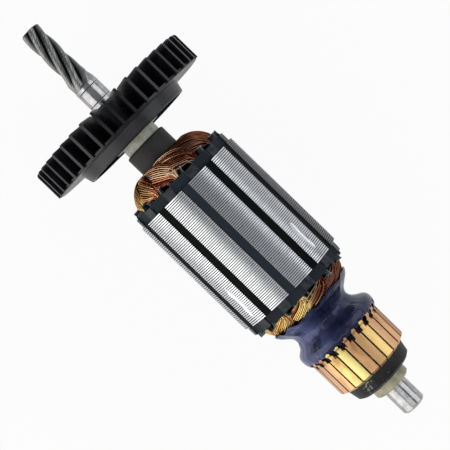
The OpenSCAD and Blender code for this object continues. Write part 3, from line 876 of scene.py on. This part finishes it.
step = add(stack_tree, "ShaderNodeCombineXYZ", {2: stack_inputs["Pitch"]}).outputs[0]
row = add(stack_tree, "GeometryNodeMeshLine",
          {"Count": stack_inputs["Sheets"], "Start Location": start, "Offset": step}, mode="OFFSET")
least = calc(stack_tree, "SUBTRACT", 1.0, stack_inputs["Size Error"])
size = add(stack_tree, "FunctionNodeRandomValue", {2: least, 3: 1.0, "Seed": stack_inputs["Seed"]},
           data_type="FLOAT").outputs[1]
scale = add(stack_tree, "ShaderNodeCombineXYZ", {0: size, 1: size, 2: 1.0}).outputs[0]
stack = add(stack_tree, "GeometryNodeInstanceOnPoints",
            {"Points": row.outputs[0], "Instance": closed.outputs[0], "Scale": scale})
real = add(stack_tree, "GeometryNodeRealizeInstances", {"Geometry": stack.outputs[0]})
painted = add(stack_tree, "GeometryNodeSetMaterial",
              {"Geometry": real.outputs[0], "Material": stack_inputs["Material"]})
add(stack_tree, "NodeGroupOutput", {"Geometry": painted.outputs[0]})
print("sheets:", sheets, "pitch", round(sheet_pitch, 3), "mm")

# %% [markdown]
# The sheet edges are turned bright steel, burnished here and there, with a painted shade band on the -Y side.
# What lies between them is dark varnish. Where a cut was milled, burrs of steel cover the varnish, so an
# attribute turns it to metal there.

# %% Sheet steel and varnish
sheet_steel, tree, shader, spot = finish_named("sheet_steel", metallic=1.0)
_, turn, _ = around(tree, spot)
streaks = speckle(tree, spot, 0.5, 4.0, stretch=(3.0, 0.5, 0.5))
clean = ramp(tree, streaks, [(0.3, (0.74, 0.75, 0.78)), (0.7, (0.92, 0.93, 0.94))])
# painted shade: the steel is darker on the -Y side, where little light falls
painted_steel_shade = calc(tree, "MULTIPLY", span(tree, turn, -0.32, -0.36), span(tree, turn, -0.75, -0.6), clamp=True)
tree.links.new(blend(tree, painted_steel_shade, clean, (0.20, 0.19, 0.21)), shader.inputs["Base Color"])
tree.links.new(span(tree, streaks, 0.3, 0.7, 0.36, 0.26), shader.inputs["Roughness"])

between, tree, shader, spot = finish_named("sheet_varnish", metallic=0.4)
varnish = ramp(tree, speckle(tree, spot, 1.0), [(0.3, (0.015, 0.015, 0.018)), (0.7, (0.04, 0.04, 0.045))])
milled = add(tree, "ShaderNodeAttribute", attribute_name="milled").outputs["Fac"]
tree.links.new(blend(tree, milled, varnish, (0.8, 0.8, 0.82)), shader.inputs["Base Color"])
tree.links.new(span(tree, milled, 0.0, 1.0, 0.4, 1.0), shader.inputs["Metallic"])
tree.links.new(span(tree, milled, 0.0, 1.0, 0.6, 0.3), shader.inputs["Roughness"])
print("finishes of the core ready")

# %% [markdown]
# To balance the rotor, two shallow lens-shaped cuts were milled into the finished stack. A
# boolean would take long on so many faces. Pressing the points under the cutting wheel down
# to its surface gives nearly the same form at once.

# %% Mill the balance cuts
cut_depth = 0.5
cut_tooth = 12  # degrees from the middle of a cut, which leaves out the far side of the core


def wheel_floor(run, side, length):
    """Radius to which the cutting wheel reaches, or None where it doesn't cut."""
    wheel = (length / 2) ** 2 / (2 * cut_depth) + cut_depth / 2
    if abs(side) >= cut_half_width or abs(run) > wheel / 2:
        return None
    rim = wheel - cut_half_width + math.sqrt(cut_half_width ** 2 - side ** 2)
    floor = core_radius - cut_depth + wheel - math.sqrt(rim ** 2 - run ** 2)
    return floor if floor < core_radius else None


def mill_balance_cuts(mesh, burr_gap):
    """Presses both cuts into a stack, a little deeper in the varnish than in the sheets."""
    milled = mesh.attributes.new("milled", "FLOAT", "POINT")
    for v in mesh.vertices:
        radius, angle = math.hypot(v.co.x, v.co.y) / mm, math.degrees(math.atan2(v.co.y, v.co.x))
        station = core_front + v.co.z / mm
        for at, begin, end in balance_cuts:
            side = radius * math.sin(math.radians(angle - at))
            floor = wheel_floor(station - (begin + end) / 2, side, end - begin)
            if floor and abs(angle - at) <= cut_tooth and radius >= slot_top:
                floor -= burr_gap
                v.co.x, v.co.y = v.co.x * floor / radius, v.co.y * floor / radius
                milled.data[v.index].value = 1.0


print("cuts at", [at for at, begin, end in balance_cuts], "degrees,", cut_depth, "mm deep")

# %% [markdown]
# The tree runs twice: for the bright sheets, with a gap between each two, and for the varnish
# between them, drawn in a little, with hair-thin joints so that its pieces don't touch. The
# stacks are made along Z and then laid down along the shaft. Both replace the CAD core.

# %% Stack the sheets
sheet_thickness, varnish_inset, joint = 0.38, 0.4, 0.02
for name, inset, thickness, size_error, material, burr_gap in (
        ("core_sheets", 0.0, sheet_thickness, 0.0012, sheet_steel, 0.0),
        ("core_between_sheets", varnish_inset, sheet_pitch - joint, 0.0, between, 0.02)):
    piece = run_tree(outline_curve(name, inset), stack_tree, {
        "Thickness": thickness * mm, "Start": (sheet_pitch - thickness) / 2 * mm,
        "Size Error": size_error, "Material": material})
    mill_balance_cuts(piece.data, burr_gap)
    for v in piece.data.vertices:
        v.co = (-core_front * mm - v.co.z, v.co.y, v.co.x)
    piece.data.update()
    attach(piece, "root")
    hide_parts("core")
    print(name, "faces", len(piece.data.polygons))

# %% [markdown]
# ## The epoxy
# The coil leads run through epoxy, poured over them between the winding and the risers. It is glossy and dark
# blue, with a mottled painted highlight that makes it paler on the +Y side. The tint of its gloss is the same
# all over, so it is set on the shader's own sockets.

# %% Finish of the epoxy
epoxy, tree, shader, spot = finish_named("lead_epoxy", coat=0.4, coat_roughness=0.12)
swirl = speckle(tree, spot, 0.22, 3.0)
deep = ramp(tree, swirl, [(0.3, (0.006, 0.009, 0.028)), (0.7, (0.022, 0.027, 0.075))])
_, turn, _ = around(tree, spot)
# painted highlight: the +Y side is made mottled and paler, where the light falls
lit_epoxy_side = span(tree, turn, 0.0, 0.14)
painted_epoxy_highlight = calc(tree, "MULTIPLY", lit_epoxy_side, span(tree, swirl, 0.34, 0.56), clamp=True)
tree.links.new(blend(tree, painted_epoxy_highlight, deep, (0.085, 0.10, 0.23)), shader.inputs["Base Color"])
tree.links.new(span(tree, swirl, 0.3, 0.7, 0.22, 0.36), shader.inputs["Roughness"])
shader.inputs["Specular Tint"].default_value = (0.6, 0.65, 1.0, 1)
shader.inputs["Coat Tint"].default_value = (0.8, 0.85, 1.0, 1)
bumps(tree, shader, speckle(tree, spot, 0.5, 2.0), 0.12)
print("finish of the epoxy:", len(tree.nodes), "nodes")

# %% [markdown]
# Its profile runs from the winding over a waist to the bulge on the risers, as (radius,
# distance behind the core), and back inside. Turned as it is, it would look machined. Smooth
# noise gives the skin soft lumps, and lets both edges creep unevenly, at the bars in tongues
# between them.

# %% Profile and lumps of the epoxy
track_radius = 13.1
coat_outer = [(14.95, 8.85), (14.75, 9.25), (14.2, 9.9), (13.5, 10.5), (12.6, 11.2), (11.4, 12.1),
              (10.75, 13), (10.45, 14), (10.7, 15), (11.3, 16), (12.7, 17.1), (13.7, 17.8),
              (14.2, 18.5), (14.35, 19.3), (14.3, 20.1), (13.9, 20.8), (track_radius, 21.05)]
coat_inner = [(10.9, 17.85), (10.4, 16.55), (6.25, 16.55), (6.25, 11.1), (10.6, 11.1), (12.5, 10.65),
              (13.4, 10.1), (14.1, 9.5)]


def lump(angle, s, frequency, seed):
    """Smooth noise from -1 to 1 on the skin, closed round the shaft."""
    return noise.noise(Vector((math.cos(angle) * frequency, math.sin(angle) * frequency, s + seed)))


def skin_point(radius, behind, share, angle):
    """A point of the outer skin: share runs from 0 at the winding to 1 at the bars."""
    middle = math.sin(math.pi * share)
    soft = 0.3 * lump(angle, behind * 0.25, 2.2, 3) + 0.12 * lump(angle, behind * 0.8, 7, 8)
    sag = 0.55 * middle ** 4 * math.sin(angle)
    tongues = 0.3 * math.cos(bars * angle + math.pi)
    creep = tongues + 0.9 * lump(angle, 0, 9, 30) + 0.7 * lump(angle, 0, 22, 50) + 0.7
    front = (1 - share) ** 3 * (0.7 + 1.1 * lump(angle, 0, 4, 20))
    station = core_rear + behind - front + share ** 5 * creep
    return place(radius + middle * soft + sag, math.degrees(angle), station)


print("waist of the epoxy:", min(coat_outer)[0], "mm in radius")

# %% [markdown]
# The shell is worked out ring by ring, in twelve steps for each bar, so that the tongues stay
# round. A cut through it is a closed loop: the outer skin, and then the plain inner one. It
# takes the place of the CAD coating.

# %% Pour the epoxy
around_steps = bars * 12
angles = [2 * math.pi * step / around_steps for step in range(around_steps)]
outer = smooth_rows(coat_outer, 3)
rows = [[skin_point(radius, behind, n / (len(outer) - 1), angle) for angle in angles]
        for n, (radius, behind) in enumerate(outer)]
rows += [[place(radius, math.degrees(angle), core_rear + behind) for angle in angles]
         for radius, behind in coat_inner]
piece = ring_shell("lead_epoxy", rows, epoxy)
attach(piece, "root")
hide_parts("lead_coating")
give(epoxy, "lead_coating")
print("epoxy faces:", len(piece.data.polygons))

# %% [markdown]
# ## Studio
# The rotor stands out best on white. A floor bright enough to look white would light the
# rotor from below, so the floor's material is pale and plain, and only the camera, and in part
# the reflections, see it glow. Of the rotor's shadow only a faint one is left on it.

# %% Floor
floor_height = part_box("fan")[0].z
floor_half = 2  # metres, like all of Blender's own lengths
data = bpy.data.meshes.new("floor")
corners = [(x * floor_half, y * floor_half, floor_height) for x, y in ((-1, -1), (1, -1), (1, 1), (-1, 1))]
data.from_pydata(corners, [], [(0, 1, 2, 3)])
floor = put_in_scene("floor", data)
pale = bpy.data.materials.new("pale_floor")
pale.use_nodes = True
tree = pale.node_tree
shader = tree.nodes["Principled BSDF"]
shader.inputs["Base Color"].default_value = (0.9, 0.9, 0.9, 1)
shader.inputs["Roughness"].default_value = 0.9
glow = add(tree, "ShaderNodeEmission", {"Color": (1, 1, 1, 1), "Strength": 1.0})
seen = add(tree, "ShaderNodeLightPath").outputs
shown = calc(tree, "ADD", calc(tree, "MULTIPLY", seen["Is Camera Ray"], 0.94),
             calc(tree, "MULTIPLY", seen["Is Glossy Ray"], 0.5))
mixed = add(tree, "ShaderNodeMixShader", {0: shown, 1: shader.outputs[0], 2: glow.outputs[0]})
tree.links.new(mixed.outputs[0], tree.nodes["Material Output"].inputs[0])
data.materials.append(pale)
print("floor at", round(floor_height / mm, 2), "mm")

# %% [markdown]
# Past the floor the camera sees a white backdrop too, while the rotor gets only a faint cool
# light from all round.

# %% Backdrop
world = bpy.data.worlds.new("studio")
bpy.context.scene.world = world
world.use_nodes = True
tree = world.node_tree
faint = tree.nodes["Background"]
faint.inputs[0].default_value = (0.9, 0.93, 1.0, 1)
faint.inputs[1].default_value = 0.25
backdrop = add(tree, "ShaderNodeBackground", {"Color": (1, 1, 1, 1), "Strength": 0.94})
to_camera = add(tree, "ShaderNodeLightPath").outputs["Is Camera Ray"]
either = add(tree, "ShaderNodeMixShader", {0: to_camera, 1: faint.outputs[0], 2: backdrop.outputs[0]})
tree.links.new(either.outputs[0], tree.nodes["World Output"].inputs[0])
print("backdrop ready")

# %% [markdown]
# Metal shows the shape of the lamps, so they are long soft panels beside the shaft: each
# makes one even streak along the core. The key is large and warm, the fill smaller and cool,
# and a small one past the commutator's end lights that end from above.


# %% Lights
def soft_light(name, power, angle, distance, length, width, colour=(1, 1, 1), x=-0.06):
    """A soft panel beside the shaft, at an angle from straight up towards +Y."""
    data = bpy.data.lights.new(name, "AREA")
    data.shape = "RECTANGLE"
    data.size, data.size_y = length, width
    data.energy, data.color = power, colour
    a = math.radians(angle)
    light = put_in_scene(name, data)
    light.location = Vector((x, 0, 0)) + Vector((0, math.sin(a), math.cos(a))) * distance
    light.rotation_euler = Euler((-a, 0, 0))


soft_light("key", 3.1, 68, 0.6, 0.7, 1.0, (1.0, 0.98, 0.95))
soft_light("fill", 1.1, -58, 0.6, 0.7, 0.45, (0.96, 0.98, 1.0))
soft_light("end", 0.16, 0, 0.45, 0.16, 0.35, x=-0.25)

# %% [markdown]
# The camera looks almost straight down from a little under half a metre, with a long lens.
# Standard keeps the colours as they are written, where the default view transform would
# soften them.

# %% Camera
camera = put_in_scene("camera", bpy.data.cameras.new("camera"))
camera.data.sensor_width, camera.data.lens = 36.0, 116.8
camera.location = (-0.0321, -0.0235, 0.4357)
camera.rotation_euler = Euler([math.radians(x) for x in (-4.364, 0.096, -135.84)])
bpy.context.scene.camera = camera
bpy.context.scene.view_settings.view_transform = "Standard"
print("camera", round(camera.location.z / mm), "mm above the shaft")
